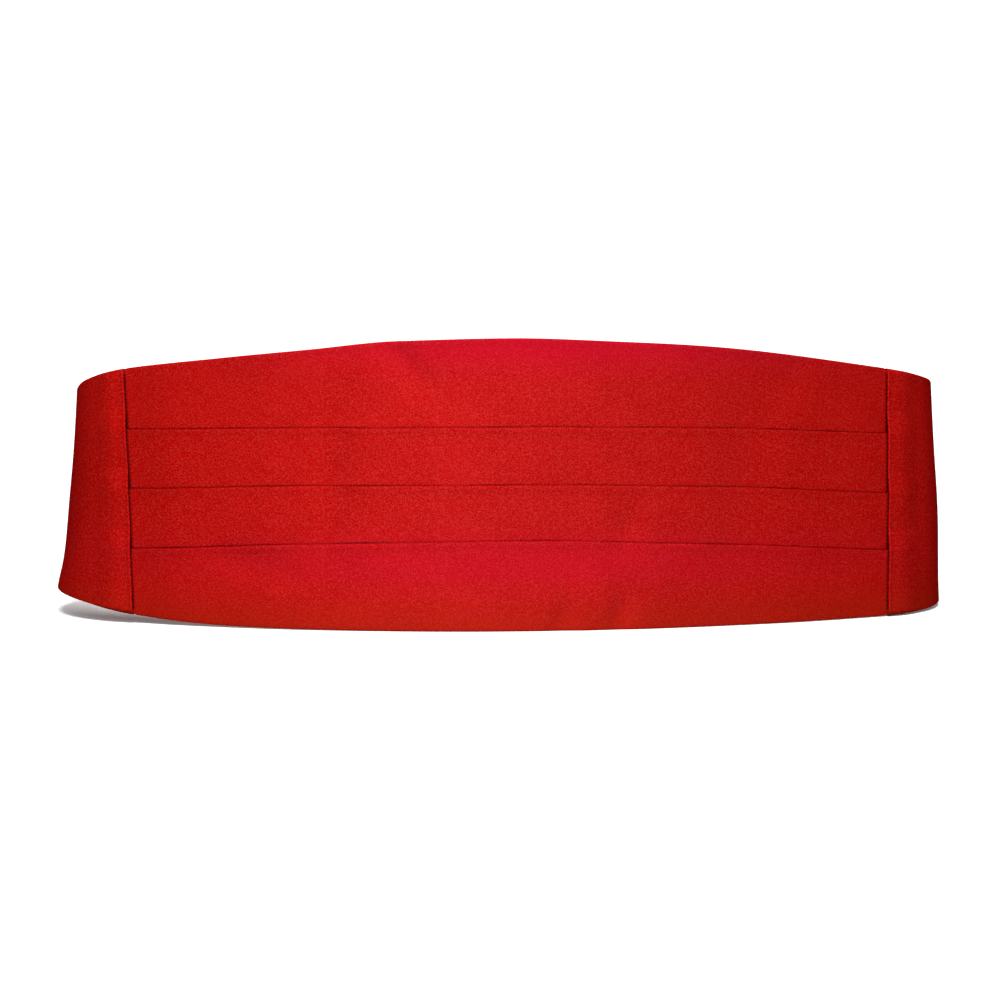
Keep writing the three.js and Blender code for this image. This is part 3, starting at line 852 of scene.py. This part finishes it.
def strap_path(end):
    """Points of a strap's middle from its sewn end to its turned-back end, as distances from the centre
    line and outwards."""
    bend = CLASP_THICKNESS / 2 + GAP + STRAP_CLOTH / 2
    back = -(STRAP_CLOTH + GAP)
    path = []
    for x in np.linspace(end["turn_x"] - TAB_FLAT, bar_outer + STRAP_SLOPE, STRAP_COLUMNS):
        path.append((x, 0))
    for share in np.linspace(0, 1, SLOPE_COLUMNS)[1:]:
        path.append((bar_outer + STRAP_SLOPE * (1 - share), bend * smooth_step(share, 0, 1)))
    for turn in np.linspace(math.pi / 2, 1.5 * math.pi, BAR_COLUMNS):
        path.append((bar_inner + bend * math.cos(turn), bend * math.sin(turn)))
    for share in np.linspace(0, 1, SLOPE_COLUMNS):
        y = -bend + (back + bend) * smooth_step(share, 0, 1)
        path.append((bar_outer + STRAP_SLOPE * share, y))
    for x in np.linspace(bar_outer + STRAP_SLOPE, bar_outer + STRAP_RETURN, RETURN_COLUMNS)[1:]:
        path.append((x, back))
    return np.array(path)


def woven_strap(name, side, end):
    """A strap swept along its path with softly rounded selvedges and closed ends."""
    path = strap_path(end)
    steps = np.diff(path, axis=0)
    lengths = np.linalg.norm(steps, axis=1)
    run = np.concatenate(([0], np.cumsum(lengths)))
    headings = steps / lengths[:, None]
    tangent = np.vstack((headings[:1], headings)) + np.vstack((headings, headings[-1:]))
    tangent = tangent / np.linalg.norm(tangent, axis=1)[:, None]
    normal = np.column_stack((-tangent[:, 1], tangent[:, 0]))
    half = STRAP_CLOTH / 2
    inset, round_half = half_round(EDGE_ROWS, half)
    body = np.linspace(half, STRAP_WIDTH - half, STRAP_ROWS)
    height = np.concatenate((inset, body, (STRAP_WIDTH - inset)[::-1]))
    thick = np.concatenate((round_half, np.full(len(body), half), round_half[::-1]))
    selvedge = np.minimum(height, STRAP_WIDTH - height)
    thick = thick * (1 - BAND_THINNER * smooth_step(selvedge, SELVEDGE_WIDTH, SELVEDGE_END))
    shares = np.ones(len(path))
    shares[[0, -1]] = 0
    columns = []
    for (x, y), (across, out), shut in zip(path, normal, shares):
        faces = []
        for sign in (1, -1):
            reach = sign * thick * shut
            px = origin_x + side * (x + across * reach)
            py = np.full(len(height), origin_y + strap_y) + y + out * reach
            faces.append(np.column_stack((px, py, strap_lift + height)))
        columns.append(np.concatenate((faces[0], faces[1][-2::-1])))
    piece = sew(name, columns, run)
    piece.data.materials.append(webbing)
    return piece, run[-1]


for label, side, end in (("left", -1, left_end), ("right", 1, right_end)):
    piece, strap_length = woven_strap(f"woven_strap_{label}", side, end)
    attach(piece, "root")
    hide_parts(f"strap_{label}")

    # The strap's end is sewn to the tab with a box of stitches, and its turned-back end with two rows.
    box_left = end["turn_x"] - TAB_FLAT - STRAP_LAP + BOX_INSET
    box_right = end["turn_x"] - TAB_FLAT - BOX_INSET
    low = strap_lift + SELVEDGE_INSET
    high = strap_lift + STRAP_WIDTH - SELVEDGE_INSET
    corners = [(box_left, low), (box_right, low), (box_right, high), (box_left, high), (box_left, low)]
    lines = list(zip(corners[:-1], corners[1:]))
    tab_faces = ((LOOP_DEPTH + TAB_CLOTH / 2, 1), (strap_y - STRAP_CLOTH / 2, -1))
    rows = [(line, face) for line in lines for face in tab_faces]
    for x in (bar_outer + STRAP_SLOPE + RETURN_START, bar_outer + STRAP_RETURN - RETURN_STOP):
        line = ((x, low), (x, high))
        rows.append((line, (strap_y + STRAP_CLOTH / 2, 1)))
        rows.append((line, (strap_y - STRAP_CLOTH * 1.5 - GAP, -1)))
    seats = []
    for (start, stop), (y, facing) in rows:
        span = Vector((stop[0] - start[0], 0, stop[1] - start[1]))
        count = max(int(span.length / STITCH_PITCH), 1)
        for k in range(count):
            share = (k + 0.5) / count
            x = start[0] + span.x * share
            z = start[1] + span.z * share
            out = Vector((0, facing, 0))
            middle = Vector((origin_x + side * x, origin_y + y + facing * STITCH_LIFT, z))
            seats.append((middle, Vector((side * span.x, 0, span.z)).normalized(), out))
    row = stitches(f"strap_stitches_{label}", seats)
    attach(row, "root")


# Clasp. It is one plain plate of nickel-plated steel with a slot for each strap, blanked from sheet and
# tumbled, so its edges are softly rounded.
CLASP_CORNER = 0.004
SLOT_WIDTH = 0.004
SLOT_CORNER = 0.001
CLASP_EDGE = 0.00045
BRUSH_SCALE = (90.0, 90.0, 5200.0)  # fine brushing marks that run from side to side
HANDLED_SCALE = 95.0
NICKEL = (0.62, 0.60, 0.57, 1)
NICKEL_WORN = (0.48, 0.45, 0.41, 1)

bpy.ops.object.select_all(action="DESELECT")
clasp_middle = (clasp_low + clasp_high) / 2
clasp_size = clasp_high - clasp_low
bpy.ops.mesh.primitive_cube_add(size=1, location=clasp_middle)
clasp = bpy.context.object
clasp.name = "clasp_plate"
clasp.data.name = "clasp_plate"
clasp.scale = clasp_size
bpy.ops.object.transform_apply(location=True, rotation=False, scale=True)


def round_corners(piece, radius):
    """Bevels the four edges of a block that run from front to back."""
    exact = 1e-6
    bpy.ops.object.mode_set(mode="EDIT")
    bpy.ops.mesh.select_all(action="DESELECT")
    bpy.ops.mesh.select_mode(type="EDGE")
    bpy.ops.object.mode_set(mode="OBJECT")
    for edge in piece.data.edges:
        start, stop = (piece.data.vertices[v].co for v in edge.vertices)
        edge.select = abs(start.x - stop.x) < exact and abs(start.z - stop.z) < exact
    bpy.ops.object.mode_set(mode="EDIT")
    bpy.ops.mesh.bevel(offset=radius, segments=6, affect="EDGES")
    bpy.ops.object.mode_set(mode="OBJECT")


round_corners(clasp, CLASP_CORNER)
for side in (-1, 1):
    bpy.ops.object.select_all(action="DESELECT")
    slot_middle = clasp_middle + Vector((side * (bar_inner - SLOT_WIDTH / 2), 0, 0))
    bpy.ops.mesh.primitive_cube_add(size=1, location=slot_middle)
    slot = bpy.context.object
    slot.scale = (SLOT_WIDTH, clasp_size.y * 3, clasp_size.z - 2 * CLASP_RIM)
    bpy.ops.object.transform_apply(location=True, rotation=False, scale=True)
    round_corners(slot, SLOT_CORNER)
    cut = clasp.modifiers.new("slot", "BOOLEAN")
    cut.operation = "DIFFERENCE"
    cut.solver = "EXACT"
    cut.object = slot
    bpy.ops.object.select_all(action="DESELECT")
    clasp.select_set(True)
    bpy.context.view_layer.objects.active = clasp
    bpy.ops.object.modifier_apply(modifier="slot")
    bpy.data.objects.remove(slot)
soft = clasp.modifiers.new("tumbled_edges", "BEVEL")
soft.width = CLASP_EDGE
soft.segments = 3
soft.limit_method = "ANGLE"
soft.angle_limit = math.radians(50)
bpy.ops.object.modifier_apply(modifier="tumbled_edges")
bpy.ops.object.shade_smooth_by_angle(angle=math.radians(40))

nickel, wire = new_finish("nickel_plate")
where = wire.node("ShaderNodeTexCoord", output="Object")
brushed = wire.noise(wire.stretched(where, BRUSH_SCALE), 1.0, 3.0)
handled = wire.noise(where, HANDLED_SCALE, 4.0, 0.6)
finished(
    wire,
    wire.between(NICKEL, NICKEL_WORN, handled * 0.6 + brushed * 0.3),
    roughness=0.22 + handled * 0.16 + brushed * 0.08,
    height=brushed,
    relief=0.00004,
    Metallic=1.0,
)
clasp.data.materials.clear()
clasp.data.materials.append(nickel)
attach(clasp, "root")
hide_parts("clasp")


# Table, lights and camera. A broad soft light stands in front and a little above, and a smaller one
# behind. Both light the band alone. A ceiling lights everything, and a wide glow lights the table alone,
# which keeps it white. The lens is long, slightly above the band and to its left.
FLOOR_WHITE = (0.98, 0.98, 0.98, 1)
FLOOR_BOUNCE = (0.24, 0.24, 0.24, 1)  # a low bounce keeps the band's turned ends dark
ROOM_GLOW = 0.05  # how bright the room is for all but the camera, which sees it white
SENSOR_WIDTH = 36
LENS_PIXELS = 4091  # the lens's length, in pixels of the picture
IMAGE_PIXELS = 1001
CAMERA_DISTANCE = 1.8
CAMERA_AZIMUTH = math.radians(-3.3)
CAMERA_ELEVATION = math.radians(7.5)
TARGET_RIGHT = 10.5  # pixels from the picture's middle to the target that the camera circles
TARGET_UP = 15

bpy.ops.object.select_all(action="DESELECT")
bpy.ops.mesh.primitive_plane_add(size=8, location=(0, 1.0, 0))
floor = bpy.context.object
floor.name = "white_table"
paper, wire = new_finish("white_paper")
seen = wire.node("ShaderNodeLightPath", output="Is Camera Ray")
sheet_colour = wire.between(FLOOR_BOUNCE, FLOOR_WHITE, seen)
diffuse = wire.node("ShaderNodeBsdfDiffuse", None, {"Color": sheet_colour})
wire.node("ShaderNodeOutputMaterial", None, {"Surface": diffuse})
floor.data.materials.append(paper)


def soft_light(name, at, towards, size, power):
    """A softbox at one place that faces another, with its width and height and its power in watts."""
    lamp = bpy.data.lights.new(name, "AREA")
    lamp.shape = "RECTANGLE"
    lamp.size = size[0]
    lamp.size_y = size[1]
    lamp.energy = power
    holder = bpy.data.objects.new(name, lamp)
    bpy.context.collection.objects.link(holder)
    holder.location = at
    holder.rotation_euler = (Vector(towards) - Vector(at)).to_track_quat("-Z", "Y").to_euler()
    return holder


def far_light(name, strength, spread, tilt):
    """Light from above over a cone of directions, with the cone's width and its tilt in degrees."""
    sky = bpy.data.lights.new(name, "SUN")
    sky.energy = strength
    sky.angle = math.radians(spread)
    holder = bpy.data.objects.new(name, sky)
    bpy.context.collection.objects.link(holder)
    holder.rotation_euler = (math.radians(tilt), 0, 0)
    return holder


front = soft_light("front_softbox", (-0.20, -1.74, 0.74), (0, -0.05, 0.06), size=(1.3, 0.4), power=37)
rear = soft_light("rear_softbox", (-0.45, 1.6, 1.0), (0, 0, 0.06), size=(0.8, 0.5), power=17)
unlit = bpy.data.collections.new("table_unlit_by_softboxes")
unlit.objects.link(floor)
unlit.collection_objects[0].light_linking.link_state = "EXCLUDE"
front.light_linking.receiver_collection = unlit
rear.light_linking.receiver_collection = unlit
table_lit = bpy.data.collections.new("table_lit_by_white_room")
table_lit.objects.link(floor)
far_light("ceiling", strength=3.3, spread=28, tilt=10)
room_glow = far_light("white_room_glow", strength=1.5, spread=150, tilt=0)
room_glow.light_linking.receiver_collection = table_lit

world = bpy.data.worlds.new("white_room")
bpy.context.scene.world = world
world.use_nodes = True
world.node_tree.nodes.clear()
room = Wire(world.node_tree)
seen = room.node("ShaderNodeLightPath", output="Is Camera Ray")
glow = room.node("ShaderNodeBackground", None, {"Color": (1, 1, 1, 1), "Strength": ROOM_GLOW + seen})
room.node("ShaderNodeOutputWorld", None, {"Surface": glow})

scene = bpy.context.scene
scene.view_settings.view_transform = "Standard"
scene.view_settings.look = "None"

target = Vector((0, -0.05, 0.064))
away = Vector(
    (
        math.sin(CAMERA_AZIMUTH) * math.cos(CAMERA_ELEVATION),
        -math.cos(CAMERA_AZIMUTH) * math.cos(CAMERA_ELEVATION),
        math.sin(CAMERA_ELEVATION),
    )
)
lens = bpy.data.cameras.new("long_lens")
lens.sensor_width = SENSOR_WIDTH
lens.lens = SENSOR_WIDTH * LENS_PIXELS / IMAGE_PIXELS
camera = bpy.data.objects.new("camera", lens)
scene.collection.objects.link(camera)
camera.rotation_euler = (-away).to_track_quat("-Z", "Y").to_euler()
turned = camera.rotation_euler.to_matrix()
pixel = CAMERA_DISTANCE / LENS_PIXELS
shift = Vector((TARGET_RIGHT * pixel, TARGET_UP * pixel, 0))
camera.location = target + away * CAMERA_DISTANCE - turned @ shift
scene.camera = camera
